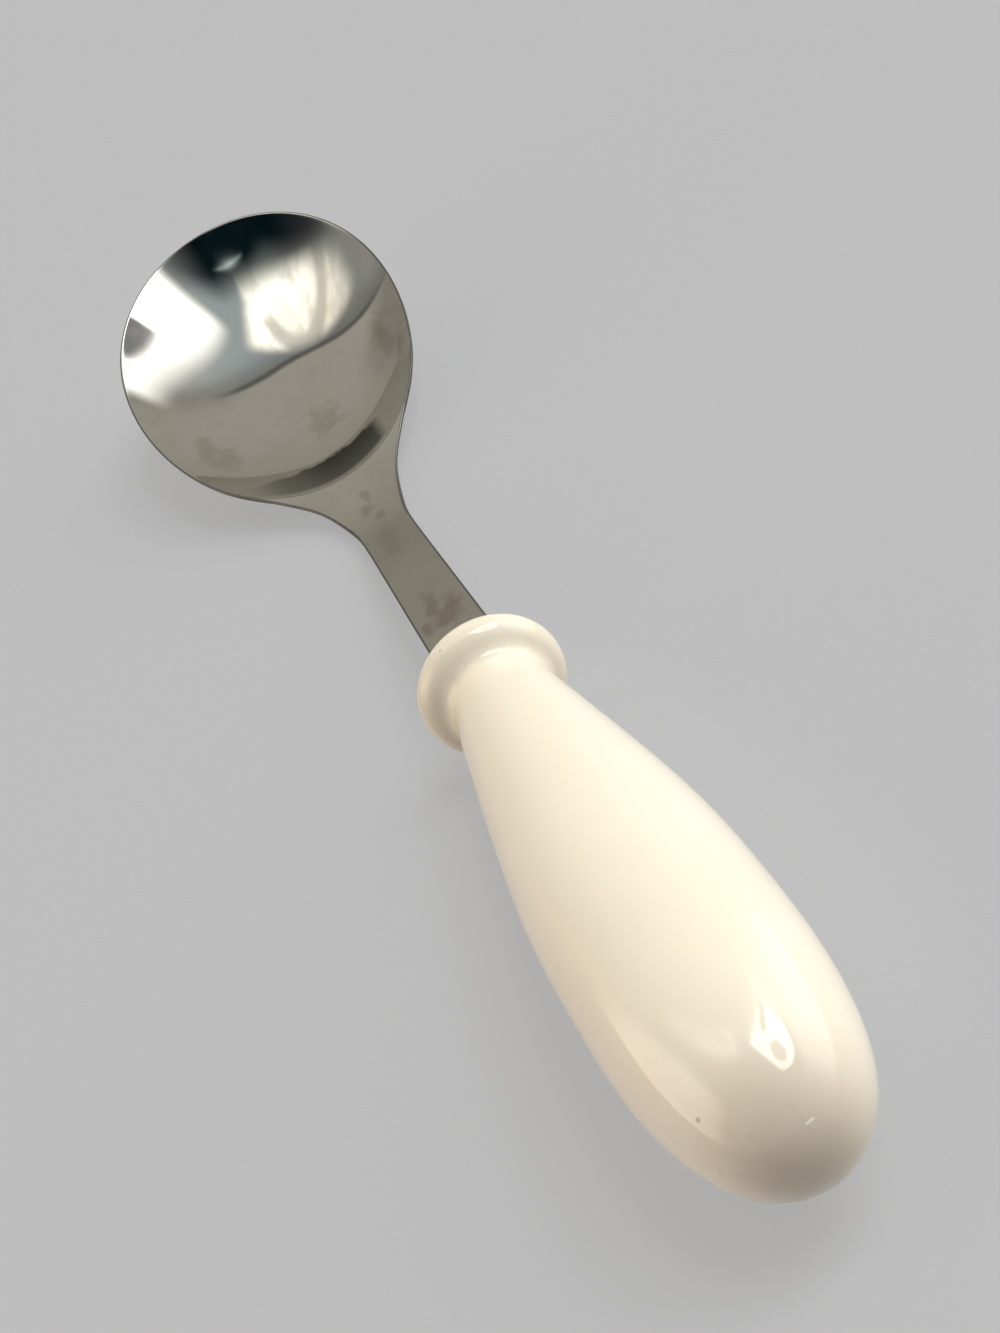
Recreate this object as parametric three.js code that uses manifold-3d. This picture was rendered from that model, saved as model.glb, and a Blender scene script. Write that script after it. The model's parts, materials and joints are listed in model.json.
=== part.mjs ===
// Serving spoon: a pressed steel head whose tang is potted into a hollow glazed ceramic handle.
// It is drawn with the handle along X, bowl towards +X, and then laid down as it rests on a table.
import * as THREE from 'three';
import { mergeVertices } from 'three/addons/utils/BufferGeometryUtils.js';
import Module from 'manifold-3d';

// Driving dimensions, in millimetres and degrees.

// Handle, measured back from the front face of its collar
const HANDLE_LENGTH = 98.3;
const COLLAR_DIAMETER = 20.9;
const COLLAR_THICKNESS = 5.75;
const COVE_LENGTH = 3.95;
const THROAT_DIAMETER = 14.95;
const THROAT_FLARE = 9.1;
const BELLY_DIAMETER = 27;
const BELLY_TO_BUTT = 30.7;
const HANDLE_WALL = 3.6;
const MOUTH_EASE = 0.4;

// Fullness of the curves as shares of the stretch that each spans, and where the bead turns into the cove
const GRIP_FULLNESS_AT_THROAT = 0.65;
const GRIP_FULLNESS_AT_BELLY = 0.3;
const BUTT_FULLNESS_AT_BELLY = 0.6;
const BUTT_BLUNTNESS = 0.73;
const COVE_FULLNESS = 0.55;
const BEAD_BACK_ANGLE = 25;

// Neck of the spoon head, measured forward from the collar
const NECK_THICKNESS = 2;
const NECK_ROOT_WIDTH = 9.8;
const NECK_WAIST_WIDTH = 8.8;
const NECK_STRAIGHT = 8;
const NECK_DROP_ANGLE = 8;
const NECK_DROP_RADIUS = 55;
const NECK_SLOPE_LENGTH = 43.3;
const SWEEP_RADIUS = 40;
const BOWL_RISE_ANGLE = 18;
const FLARE_LENGTH = 19;
const FLARE_INTO_BOWL = 9.8;
const EDGE_EASE = 0.35;
const EASE_SHARE_OF_SHEET = 0.4;
const EASE_SHARE_OF_HALF_WIDTH = 0.3;

// Bowl, from its lip at the neck to its tip
const BOWL_LENGTH = 74.1;
const BOWL_WIDTH = 52.2;
const BOWL_DEPTH = 9.6;
const BOWL_WALL = 1.4;
const RIM_WIDTH = 1;
const RIM_LAND = 0.6;
const UNDERSIDE_FILLET = 3;

// How far the rim leaves an ellipse, and how far the deepest place lies towards the neck
const EGG_SKEW = 0.0665;
const EGG_FULLNESS = 0.0293;
const DEPTH_SKEW = 0.2;

// Tang and its potting
const TANG_LENGTH = 36;
const TANG_STEP = 0.15;
const TANG_ROOT = 4;
const TANG_HOLE_SHARE = 0.45;
const TANG_HOLE_PLACES = [0.35, 0.72];
const GLUE_LINE = 0.9;
const GLUE_RECESS = 0.8;
const GLUE_BEYOND_TANG = 4;
const FIT_GAP = 0.3;

// Fineness of the curves
const TURN_STEPS = 40;
const CURVE_STEPS = 10;
const COVE_STEPS = 5;
const NECK_ROW_SPACING = 2.5;
const BOWL_ROWS = 28;
const SECTION_STEPS = 12;
const FIRST_ROW_ANGLE = 5;
const TIP_ROWS = [0.1, 0.6, 0.9, 0.985];
const SLOPE_STEP = 0.01;
const WELD_DISTANCE = 1e-4;
const STEEPEST_PITCH = 45;
const PITCH_HALVINGS = 50;

const radians = THREE.MathUtils.degToRad;
const lerp = THREE.MathUtils.lerp;
const clamp = THREE.MathUtils.clamp;
const wasm = await Module();
wasm.setup();

// A closed three.js geometry as a solid that can be joined and cut
function solidOf(geometry) {
  const bare = geometry.clone();
  bare.deleteAttribute('normal');
  bare.deleteAttribute('uv');
  const merged = mergeVertices(bare, WELD_DISTANCE);
  const triangles = [];
  for (let i = 0; i < merged.index.count; i += 3) {
    const [a, b, c] = [0, 1, 2].map((k) => merged.index.getX(i + k));
    if (a !== b && b !== c && c !== a) {
      triangles.push(a, b, c);
    }
  }
  return new wasm.Manifold(new wasm.Mesh({
    numProp: 3,
    vertProperties: new Float32Array(merged.attributes.position.array),
    triVerts: new Uint32Array(triangles),
  }));
}

function geometryOf(solid) {
  const mesh = solid.getMesh();
  const geometry = new THREE.BufferGeometry();
  geometry.setAttribute('position', new THREE.BufferAttribute(mesh.vertProperties, 3));
  geometry.setIndex(new THREE.BufferAttribute(mesh.triVerts, 1));
  geometry.computeVertexNormals();
  return geometry;
}

// A profile of (distance behind the collar face, radius) points turned about the handle's axis
function turned(profile) {
  const points = profile.map((p) => new THREE.Vector2(p.y, -p.x));
  const halfStep = Math.PI / TURN_STEPS;
  return new THREE.LatheGeometry(points, TURN_STEPS, halfStep).rotateZ(-Math.PI / 2);
}

function bezier(from, fromPull, toPull, to, steps) {
  return new THREE.CubicBezierCurve(from, fromPull, toPull, to).getPoints(steps);
}

// Handle profile

const collarRadius = COLLAR_DIAMETER / 2;
const beadRadius = COLLAR_THICKNESS / 2;
const throatRadius = THROAT_DIAMETER / 2;
const throatPlace = COLLAR_THICKNESS + COVE_LENGTH;
const bellyRadius = BELLY_DIAMETER / 2;
const bellyPlace = HANDLE_LENGTH - BELLY_TO_BUTT;
const throatSlope = new THREE.Vector2(Math.cos(radians(THROAT_FLARE)), Math.sin(radians(THROAT_FLARE)));

// Grip and butt from the throat to the axis; an inset gives the hollow inside the wall
function gripProfile(inset) {
  const throat = new THREE.Vector2(throatPlace, throatRadius - inset);
  const belly = new THREE.Vector2(bellyPlace, bellyRadius - inset);
  const end = new THREE.Vector2(HANDLE_LENGTH - inset, 0);
  const gripSpan = belly.x - throat.x;
  const buttSpan = end.x - belly.x;
  const grip = bezier(
    throat,
    throat.clone().addScaledVector(throatSlope, GRIP_FULLNESS_AT_THROAT * gripSpan),
    new THREE.Vector2(belly.x - GRIP_FULLNESS_AT_BELLY * gripSpan, belly.y),
    belly,
    CURVE_STEPS,
  );
  const butt = bezier(
    belly,
    new THREE.Vector2(belly.x + BUTT_FULLNESS_AT_BELLY * buttSpan, belly.y),
    new THREE.Vector2(end.x, BUTT_BLUNTNESS * belly.y),
    end,
    CURVE_STEPS,
  );
  return [...grip, ...butt.slice(1)];
}

// Bead collar as a half-round ring, and the cove that runs from it into the throat
function collarProfile() {
  const backAngle = radians(BEAD_BACK_ANGLE);
  const bead = new THREE.EllipseCurve(
    beadRadius, collarRadius - beadRadius, beadRadius, beadRadius, Math.PI, backAngle, true,
  ).getPoints(CURVE_STEPS);
  const back = bead.at(-1);
  const backSlope = new THREE.Vector2(Math.sin(backAngle), -Math.cos(backAngle));
  const throat = new THREE.Vector2(throatPlace, throatRadius);
  const pull = COVE_FULLNESS * COVE_LENGTH;
  const cove = bezier(
    back,
    back.clone().addScaledVector(backSlope, pull),
    throat.clone().addScaledVector(throatSlope, -pull),
    throat,
    COVE_STEPS,
  );
  return [...bead, ...cove.slice(1, -1)];
}

// Slip-cast shell: outside from the butt to the collar face, then back down the bore and the hollow
const boreRadius = throatRadius - HANDLE_WALL;
function handleShell() {
  const outside = [...collarProfile(), ...gripProfile(0)].reverse();
  const mouth = [
    new THREE.Vector2(0, boreRadius + MOUTH_EASE),
    new THREE.Vector2(MOUTH_EASE, boreRadius),
  ];
  return turned([...outside, ...mouth, ...gripProfile(HANDLE_WALL)]);
}

// Tang

const tangThickness = NECK_THICKNESS - 2 * TANG_STEP;
const tangHalfWidth = Math.sqrt((boreRadius - GLUE_LINE) ** 2 - (tangThickness / 2) ** 2);
const tangHoleRadius = TANG_HOLE_SHARE * tangHalfWidth;

// Flat tang with a round end and two holes; grow swells it evenly to cut its own clearance
function tang(grow) {
  const half = tangHalfWidth + grow;
  const roundCentre = -TANG_LENGTH + tangHalfWidth;
  const outline = new THREE.Shape();
  outline.moveTo(TANG_ROOT, half);
  outline.lineTo(roundCentre, half);
  outline.absarc(roundCentre, 0, half, Math.PI / 2, -Math.PI / 2, false);
  outline.lineTo(TANG_ROOT, -half);
  outline.closePath();
  for (const place of TANG_HOLE_PLACES) {
    const hole = new THREE.Path();
    hole.absarc(-place * TANG_LENGTH, 0, tangHoleRadius - grow, 0, 2 * Math.PI, true);
    outline.holes.push(hole);
  }
  const depth = tangThickness + 2 * grow;
  const options = { depth, bevelEnabled: false, curveSegments: CURVE_STEPS };
  return new THREE.ExtrudeGeometry(outline, options).translate(0, 0, -depth / 2);
}

// Potting that fills the bore and the start of the hollow, and keys through the tang's holes
function tangAdhesive() {
  const fillEnd = TANG_LENGTH + GLUE_BEYOND_TANG;
  const wall = gripProfile(HANDLE_WALL).map((p) => new THREE.Vector2(p.x, p.y - FIT_GAP));
  const after = wall.findIndex((p) => p.x > fillEnd);
  const [before, beyond] = [wall[after - 1], wall[after]];
  const share = (fillEnd - before.x) / (beyond.x - before.x);
  const profile = [
    new THREE.Vector2(fillEnd, 0),
    new THREE.Vector2(fillEnd, lerp(before.y, beyond.y, share)),
    ...wall.slice(0, after).reverse(),
    new THREE.Vector2(GLUE_RECESS, boreRadius - FIT_GAP),
    new THREE.Vector2(GLUE_RECESS, 0),
  ];
  return geometryOf(solidOf(turned(profile)).subtract(solidOf(tang(FIT_GAP))));
}

// Spoon head: a sheet that follows a spine, with lengths measured along its top face from the collar

const drop = radians(NECK_DROP_ANGLE);
const rise = radians(BOWL_RISE_ANGLE);
const spine = [
  { length: NECK_STRAIGHT, turn: 0 },
  { length: NECK_DROP_RADIUS * drop, turn: -drop },
  { length: NECK_SLOPE_LENGTH, turn: 0 },
  { length: SWEEP_RADIUS * (drop + rise), turn: drop + rise },
];
const neckEnd = spine.reduce((sum, stretch) => sum + stretch.length, 0);
const tip = neckEnd + BOWL_LENGTH;
const bowlMiddle = neckEnd + BOWL_LENGTH / 2;
const flareStart = neckEnd - FLARE_LENGTH;
const flareEnd = neckEnd + FLARE_INTO_BOWL;
const waistHalfWidth = NECK_WAIST_WIDTH / 2;
const rim = { start: neckEnd, end: tip, half: BOWL_WIDTH / 2 };
const hollow = { start: neckEnd, end: tip - RIM_WIDTH, half: rim.half - RIM_WIDTH, depth: BOWL_DEPTH };
const underside = { ...rim, start: neckEnd - RIM_WIDTH, depth: BOWL_DEPTH + BOWL_WALL - RIM_LAND };

// Point at a length along the spine, off it sideways and along its upward normal
function onSpine(length, side, height) {
  let [x, z, slope] = [0, NECK_THICKNESS / 2, 0];
  let left = length;
  for (const { length: stretch, turn } of spine) {
    const run = Math.min(left, stretch);
    const bend = (turn * run) / stretch;
    const radius = stretch / turn;
    x += turn === 0 ? run * Math.cos(slope) : radius * (Math.sin(slope + bend) - Math.sin(slope));
    z += turn === 0 ? run * Math.sin(slope) : radius * (Math.cos(slope) - Math.cos(slope + bend));
    slope += bend;
    left -= run;
  }
  x += left * Math.cos(slope) - height * Math.sin(slope);
  z += left * Math.sin(slope) + height * Math.cos(slope);
  return new THREE.Vector3(x, side, z);
}

// Place of a length in an egg-shaped outline, from -1 at its start to 1 at its end
function placeIn(egg, length) {
  return (2 * length - egg.start - egg.end) / (egg.end - egg.start);
}

// Half-width that an egg would have at a place if it were not drawn in towards its ends
function eggHalf(egg, place) {
  return egg.half * (1 + EGG_SKEW * place + EGG_FULLNESS * place ** 2);
}

function rimHalfWidth(length) {
  const place = placeIn(rim, length);
  return eggHalf(rim, place) * Math.sqrt(Math.max(1 - place ** 2, 0));
}

// Half the width of the blank: tapered neck, flared shoulder, then the rim
const flareSlope = (rimHalfWidth(flareEnd + SLOPE_STEP) - rimHalfWidth(flareEnd)) / SLOPE_STEP;
function blankHalfWidth(length) {
  if (length < flareStart) {
    return lerp(NECK_ROOT_WIDTH / 2, waistHalfWidth, length / flareStart);
  }
  if (length < flareEnd) {
    const span = flareEnd - flareStart;
    const t = (length - flareStart) / span;
    const spread = t * t * (3 - 2 * t);
    const splay = t * t * (t - 1) * span * flareSlope;
    return lerp(waistHalfWidth, rimHalfWidth(flareEnd), spread) + splay;
  }
  return rimHalfWidth(length);
}

// Depth of an egg-shaped dish, zero on and outside its edge
function dishDepth(dish, length, side) {
  const place = placeIn(dish, length);
  const out = place ** 2 + (side / eggHalf(dish, place)) ** 2;
  return dish.depth * Math.max(1 - out, 0) * (1 - DEPTH_SKEW * place);
}

function topHeight(length, side) {
  return -dishDepth(hollow, length, side);
}

// Sheet thickness at the edge: full on the neck, thinned to the rim land round the bowl
function edgeThickness(length) {
  const t = clamp((length - flareStart) / (bowlMiddle - flareStart), 0, 1);
  return lerp(NECK_THICKNESS, RIM_LAND, t * t * (3 - 2 * t));
}

// Underside: the neck's flat back running into the outside of the bowl over a fillet
function bottomHeight(length, side) {
  const dish = dishDepth(underside, length, side);
  const flat = edgeThickness(length);
  const bowl = RIM_LAND + dish;
  const blend = Math.min(dish, UNDERSIDE_FILLET);
  const mix = Math.max(blend - Math.abs(bowl - flat), 0);
  const fillet = mix > 0 ? mix ** 2 / (4 * blend) : 0;
  return -Math.max(bowl, flat) - fillet;
}

// One section across the head as a ladder of top and bottom points
function headSection(length, innerHalf) {
  const half = blankHalfWidth(length);
  const sheet = edgeThickness(length);
  const ease = Math.min(EDGE_EASE, EASE_SHARE_OF_SHEET * sheet, EASE_SHARE_OF_HALF_WIDTH * half);
  const sides = [half - ease];
  for (let k = 0; k <= SECTION_STEPS; k += 1) {
    sides.push(Math.min(innerHalf, half - 2 * ease) * Math.cos((Math.PI * k) / SECTION_STEPS));
  }
  sides.push(ease - half);
  const top = sides.map((side) => onSpine(length, side, topHeight(length, side)));
  const bottom = sides.map((side) => onSpine(length, side, bottomHeight(length, side)));
  const low = ease - sheet;
  top.unshift(onSpine(length, half, -ease));
  top.push(onSpine(length, -half, -ease));
  bottom.unshift(onSpine(length, half, low));
  bottom.push(onSpine(length, -half, low));
  return { top, bottom };
}

// Lengths of the sections with the half-width of the hollow's edge at each
function headStations() {
  const stations = [];
  const first = radians(FIRST_ROW_ANGLE);
  const narrow = eggHalf(hollow, -1) * Math.sin(first);
  const dropEnd = NECK_STRAIGHT + NECK_DROP_RADIUS * drop;
  const sweepStart = dropEnd + NECK_SLOPE_LENGTH;
  const breaks = [FIT_GAP, NECK_STRAIGHT, dropEnd, sweepStart, flareStart, neckEnd].sort((a, b) => a - b);
  for (let k = 1; k < breaks.length; k += 1) {
    const steps = Math.ceil((breaks[k] - breaks[k - 1]) / NECK_ROW_SPACING);
    for (let j = 0; j < steps; j += 1) {
      stations.push([lerp(breaks[k - 1], breaks[k], j / steps), narrow]);
    }
  }
  for (let k = 0; k <= BOWL_ROWS; k += 1) {
    const angle = lerp(first, Math.PI - first, k / BOWL_ROWS);
    const place = -Math.cos(angle);
    const length = lerp(hollow.start, hollow.end, (1 + place) / 2);
    stations.push([length, eggHalf(hollow, place) * Math.sin(angle)]);
  }
  for (const share of TIP_ROWS) {
    stations.push([hollow.end + share * RIM_WIDTH, narrow]);
  }
  return stations;
}

// Skin over a row of ladder sections, with both ends closed
function loft(sections) {
  const rungs = sections[0].top.length;
  const ring = 2 * rungs;
  const positions = [];
  const triangles = [];
  for (const { top, bottom } of sections) {
    for (const point of [...top, ...bottom.toReversed()]) {
      positions.push(...point.toArray());
    }
  }
  for (let row = 0; row < sections.length - 1; row += 1) {
    for (let k = 0; k < ring; k += 1) {
      const a = row * ring + k;
      const b = row * ring + (k + 1) % ring;
      triangles.push(a, b, a + ring, b, b + ring, a + ring);
    }
  }
  const last = (sections.length - 1) * ring;
  for (let k = 0; k < rungs - 1; k += 1) {
    const [a, b, c, d] = [k, k + 1, ring - 2 - k, ring - 1 - k];
    triangles.push(a, d, b, b, d, c);
    triangles.push(last + a, last + b, last + d, last + b, last + c, last + d);
  }
  const geometry = new THREE.BufferGeometry();
  geometry.setAttribute('position', new THREE.Float32BufferAttribute(positions, 3));
  geometry.setIndex(triangles);
  return geometry;
}

function spoonHead() {
  const sections = headStations().map(([length, inner]) => headSection(length, inner));
  return geometryOf(solidOf(loft(sections)).add(solidOf(tang(0))));
}

// Materials

const steel = new THREE.MeshStandardMaterial({ color: 0xb9b8b2, roughness: 0.16, metalness: 1 });
const glaze = new THREE.MeshStandardMaterial({ color: 0xf4ecd8, roughness: 0.1, metalness: 0 });
const epoxy = new THREE.MeshStandardMaterial({ color: 0xcfc6ae, roughness: 0.55, metalness: 0 });

function piece(name, geometry, material) {
  const mesh = new THREE.Mesh(geometry, material);
  mesh.name = name;
  return mesh;
}

// Assembly

const head = piece('spoon_head', spoonHead(), steel);
const shell = piece('handle_shell', handleShell(), glaze);
const adhesive = piece('tang_adhesive', tangAdhesive(), epoxy);
const spoon = new THREE.Group().add(head, shell, adhesive);

// Height of a mesh's lowest point once the spoon is pitched about Y
function lowest(mesh, pitch) {
  const points = mesh.geometry.attributes.position;
  let low = Infinity;
  for (let i = 0; i < points.count; i += 1) {
    low = Math.min(low, points.getZ(i) * Math.cos(pitch) - points.getX(i) * Math.sin(pitch));
  }
  return low;
}

// Pitch at which the bowl and the belly of the handle lie on the same table
function restPitch() {
  let [up, down] = [radians(-STEEPEST_PITCH), radians(STEEPEST_PITCH)];
  for (let k = 0; k < PITCH_HALVINGS; k += 1) {
    const middle = (up + down) / 2;
    if (lowest(head, middle) > lowest(shell, middle)) {
      up = middle;
    } else {
      down = middle;
    }
  }
  return (up + down) / 2;
}

// Origin on the table, under the middle of the whole spoon
spoon.rotation.y = restPitch();
const extent = new THREE.Box3().setFromObject(spoon, true);
const middle = extent.getCenter(new THREE.Vector3());
spoon.position.set(-middle.x, -middle.y, -extent.min.z);

const part = new THREE.Group().add(spoon);
export default part;
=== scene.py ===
import json
import math

import bpy
import numpy as np
from mathutils import Matrix, Vector


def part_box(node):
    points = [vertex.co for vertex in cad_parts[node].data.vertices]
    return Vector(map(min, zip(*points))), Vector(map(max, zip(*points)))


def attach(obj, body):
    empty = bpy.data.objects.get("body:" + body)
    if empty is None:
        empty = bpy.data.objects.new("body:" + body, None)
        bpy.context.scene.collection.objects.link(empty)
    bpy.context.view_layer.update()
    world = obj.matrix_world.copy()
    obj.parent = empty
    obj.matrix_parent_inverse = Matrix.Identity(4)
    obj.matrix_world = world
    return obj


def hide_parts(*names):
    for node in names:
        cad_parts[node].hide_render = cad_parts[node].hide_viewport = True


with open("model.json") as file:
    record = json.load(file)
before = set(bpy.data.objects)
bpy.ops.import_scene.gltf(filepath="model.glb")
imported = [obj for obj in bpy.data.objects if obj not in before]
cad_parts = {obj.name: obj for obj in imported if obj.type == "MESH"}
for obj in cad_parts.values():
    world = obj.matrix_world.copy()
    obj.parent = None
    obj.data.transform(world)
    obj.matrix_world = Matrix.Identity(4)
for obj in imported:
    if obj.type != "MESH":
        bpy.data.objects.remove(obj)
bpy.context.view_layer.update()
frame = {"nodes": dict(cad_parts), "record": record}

# Sizes of the spoon in millimetres and degrees; its edges are finer than those of the solids

# Handle, measured back from the front face of its collar
HANDLE_LENGTH = 98.3
COLLAR_DIAMETER = 20.9
COLLAR_THICKNESS = 5.75
COVE_LENGTH = 3.95
THROAT_DIAMETER = 14.95
THROAT_FLARE = 9.1
BELLY_DIAMETER = 27
BELLY_TO_BUTT = 30.7
HANDLE_WALL = 3.6
MOUTH_EASE = 0.4
GRIP_FULLNESS_AT_THROAT = 0.65
GRIP_FULLNESS_AT_BELLY = 0.3
BUTT_FULLNESS_AT_BELLY = 0.6
BUTT_BLUNTNESS = 0.73
COVE_FULLNESS = 0.55
BEAD_BACK_ANGLE = 25

# Neck of the spoon head, measured forward from the collar
NECK_THICKNESS = 2
NECK_ROOT_WIDTH = 9.8
NECK_WAIST_WIDTH = 8.8
NECK_STRAIGHT = 8
NECK_DROP_ANGLE = 8
NECK_DROP_RADIUS = 55
NECK_SLOPE_LENGTH = 43.3
SWEEP_RADIUS = 40
BOWL_RISE_ANGLE = 18
FLARE_LENGTH = 19
FLARE_INTO_BOWL = 9.8
EDGE_EASE = 0.2

# Bowl, from its lip at the neck to its tip
BOWL_LENGTH = 74.1
BOWL_WIDTH = 52.2
BOWL_DEPTH = 9.6
BOWL_WALL = 1.4
RIM_WIDTH = 1
RIM_FLAT = 0.06
RIM_LAND = 0.6
UNDERSIDE_FILLET = 3
EGG_SKEW = 0.0665
EGG_FULLNESS = 0.0293
DEPTH_SKEW = 0.2

# Tang
TANG_LENGTH = 36
TANG_STEP = 0.15
GLUE_LINE = 0.9
FIT_GAP = 0.3

MILLIMETRE = 0.001


# Curves

def smooth(t):
    t = np.clip(t, 0, 1)
    return t * t * (3 - 2 * t)


def bezier(a, b, c, d, steps):
    t = np.linspace(0, 1, steps + 1)[:, None]
    a, b, c, d = (np.asarray(p, float) for p in (a, b, c, d))
    return a * (1 - t) ** 3 + 3 * b * t * (1 - t) ** 2 + 3 * c * t * t * (1 - t) + d * t ** 3


# Handle profile as (distance behind the collar face, radius)
collar_radius = COLLAR_DIAMETER / 2
bead_radius = COLLAR_THICKNESS / 2
throat_radius = THROAT_DIAMETER / 2
throat_place = COLLAR_THICKNESS + COVE_LENGTH
belly_radius = BELLY_DIAMETER / 2
belly_place = HANDLE_LENGTH - BELLY_TO_BUTT
bore_radius = throat_radius - HANDLE_WALL
throat_slope = np.array([math.cos(math.radians(THROAT_FLARE)), math.sin(math.radians(THROAT_FLARE))])


def grip_profile(inset, grip_steps, butt_steps):
    throat = np.array([throat_place, throat_radius - inset])
    belly = np.array([belly_place, belly_radius - inset])
    end = np.array([HANDLE_LENGTH - inset, 0])
    grip_span = belly[0] - throat[0]
    butt_span = end[0] - belly[0]
    grip = bezier(
        throat,
        throat + throat_slope * GRIP_FULLNESS_AT_THROAT * grip_span,
        (belly[0] - GRIP_FULLNESS_AT_BELLY * grip_span, belly[1]),
        belly,
        grip_steps,
    )
    butt = bezier(
        belly,
        (belly[0] + BUTT_FULLNESS_AT_BELLY * butt_span, belly[1]),
        (end[0], BUTT_BLUNTNESS * belly[1]),
        end,
        butt_steps,
    )
    return np.vstack([grip, butt[1:]])


def collar_profile(bead_steps, cove_steps):
    back_angle = math.radians(BEAD_BACK_ANGLE)
    turn = np.linspace(math.pi, back_angle, bead_steps + 1)
    centre = np.array([bead_radius, collar_radius - bead_radius])
    bead = centre + bead_radius * np.stack([np.cos(turn), np.sin(turn)], -1)
    back_slope = np.array([math.sin(back_angle), -math.cos(back_angle)])
    throat = np.array([throat_place, throat_radius])
    pull = COVE_FULLNESS * COVE_LENGTH
    cove = bezier(bead[-1], bead[-1] + back_slope * pull, throat - throat_slope * pull, throat, cove_steps)
    return np.vstack([bead, cove[1:-1]])


# How many steps each stretch of the profile is drawn in
BEAD_STEPS = 28
COVE_STEPS = 18
GRIP_STEPS = 70
BUTT_STEPS = 50
INSIDE_GRIP_STEPS = 24
INSIDE_BUTT_STEPS = 18

outside = np.vstack([collar_profile(BEAD_STEPS, COVE_STEPS), grip_profile(0, GRIP_STEPS, BUTT_STEPS)])

# Placing: everything is drawn along the handle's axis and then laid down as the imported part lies
mount_axis = frame["record"]["mounts"][0]["axis"]
pitch = math.asin(-mount_axis[0]) - math.radians(NECK_DROP_ANGLE)
shell_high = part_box("handle_shell")[1]
reach = -outside[:, 0] * math.cos(pitch) + outside[:, 1] * math.sin(pitch)
height = outside[:, 0] * math.sin(pitch) + outside[:, 1] * math.cos(pitch)
axis_turn = Matrix.Rotation(pitch, 3, "Y")
axis_place = Vector((
    shell_high.x / MILLIMETRE - reach.max(),
    0,
    shell_high.z / MILLIMETRE - height.max(),
))


def laid(point):
    """A point in millimetres off the handle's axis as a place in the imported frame, in metres."""
    return (axis_turn @ Vector(point) + axis_place) * MILLIMETRE


def laid_direction(direction):
    return axis_turn @ Vector(direction)


def laid_rows(points):
    turn = np.array(axis_turn)
    return (points @ turn.T + np.array(axis_place)) * MILLIMETRE


# Meshes

def grid_mesh(name, rows, material, marks=None):
    """A skin over closed rows of points, capped at both ends, with named numbers kept on the points."""
    count, ring = rows.shape[:2]
    a = (np.arange(count - 1)[:, None] * ring + np.arange(ring)[None, :]).ravel()
    b = (np.arange(count - 1)[:, None] * ring + (np.arange(ring)[None, :] + 1) % ring).ravel()
    faces = np.stack([a, b, b + ring, a + ring], -1).tolist()
    faces.append(list(range(ring - 1, -1, -1)))
    faces.append(list(range((count - 1) * ring, count * ring)))
    mesh = bpy.data.meshes.new(name)
    mesh.from_pydata(laid_rows(rows.reshape(-1, 3)).tolist(), [], faces)
    for mark, values in (marks or {}).items():
        mesh.attributes.new(mark, "FLOAT", "POINT").data.foreach_set("value", values.ravel())
    mesh.validate()
    mesh.update()
    mesh.shade_smooth()
    mesh.materials.append(material)
    piece = bpy.data.objects.new(name, mesh)
    bpy.context.scene.collection.objects.link(piece)
    return piece


# Spoon head: a sheet on a spine, with lengths measured along its top face from the collar

drop = math.radians(NECK_DROP_ANGLE)
rise = math.radians(BOWL_RISE_ANGLE)
SPINE = [
    (NECK_STRAIGHT, 0),
    (NECK_DROP_RADIUS * drop, -drop),
    (NECK_SLOPE_LENGTH, 0),
    (SWEEP_RADIUS * (drop + rise), drop + rise),
]
neck_end = sum(length for length, turn in SPINE)
tip = neck_end + BOWL_LENGTH
flare_start = neck_end - FLARE_LENGTH
flare_end = neck_end + FLARE_INTO_BOWL
waist_half = NECK_WAIST_WIDTH / 2
RIM = dict(start=neck_end, end=tip, half=BOWL_WIDTH / 2)
HOLLOW = dict(start=neck_end, end=tip - RIM_FLAT, half=BOWL_WIDTH / 2 - RIM_FLAT, depth=BOWL_DEPTH)
UNDERSIDE = dict(RIM, start=neck_end - RIM_WIDTH, depth=BOWL_DEPTH + BOWL_WALL - RIM_LAND)


# The bends run softly into the straight stretches, as they do in pressed sheet
SPINE_STEP = 0.05
BEND_RUN = 14
stations = np.arange(-TANG_LENGTH - BEND_RUN, tip + BEND_RUN, SPINE_STEP)


def spine_slope():
    slope = np.zeros_like(stations)
    start = 0
    for stretch, turn in SPINE:
        slope += turn * np.clip((stations - start) / stretch, 0, 1)
        start += stretch
    window = np.hanning(int(BEND_RUN / SPINE_STEP) // 2 * 2 + 1)
    padded = np.pad(slope, len(window) // 2, mode="edge")
    return np.convolve(padded, window / window.sum(), "valid")


def run_along(rate):
    total = np.concatenate([[0], np.cumsum((rate[1:] + rate[:-1]) / 2) * SPINE_STEP])
    return total - np.interp(0, stations, total)


slopes = spine_slope()
spine_x = run_along(np.cos(slopes))
spine_z = run_along(np.sin(slopes)) + NECK_THICKNESS / 2


def on_spine(length, side, height):
    slope = np.interp(length, stations, slopes)
    x = np.interp(length, stations, spine_x) - height * np.sin(slope)
    z = np.interp(length, stations, spine_z) + height * np.cos(slope)
    return np.stack([x, side, z], -1)


def place_in(egg, length):
    return (2 * length - egg["start"] - egg["end"]) / (egg["end"] - egg["start"])


def egg_half(egg, place):
    return egg["half"] * (1 + EGG_SKEW * place + EGG_FULLNESS * place ** 2)


def rim_half_width(length):
    place = place_in(RIM, length)
    return egg_half(RIM, place) * np.sqrt(np.maximum(1 - place ** 2, 0))


# The trimmed edge fills the waist a little and is tucked in under the shoulders: (place, run, amount)
EDGE_TRIM = [(flare_start + 1, 5, 0.1), (neck_end - 3.1, 6, -0.72)]

# A short run along the spine, over which the spread of the edge is measured
SLOPE_STEP = 0.01
flare_slope = (rim_half_width(flare_end + SLOPE_STEP) - rim_half_width(flare_end)) / SLOPE_STEP


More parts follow.
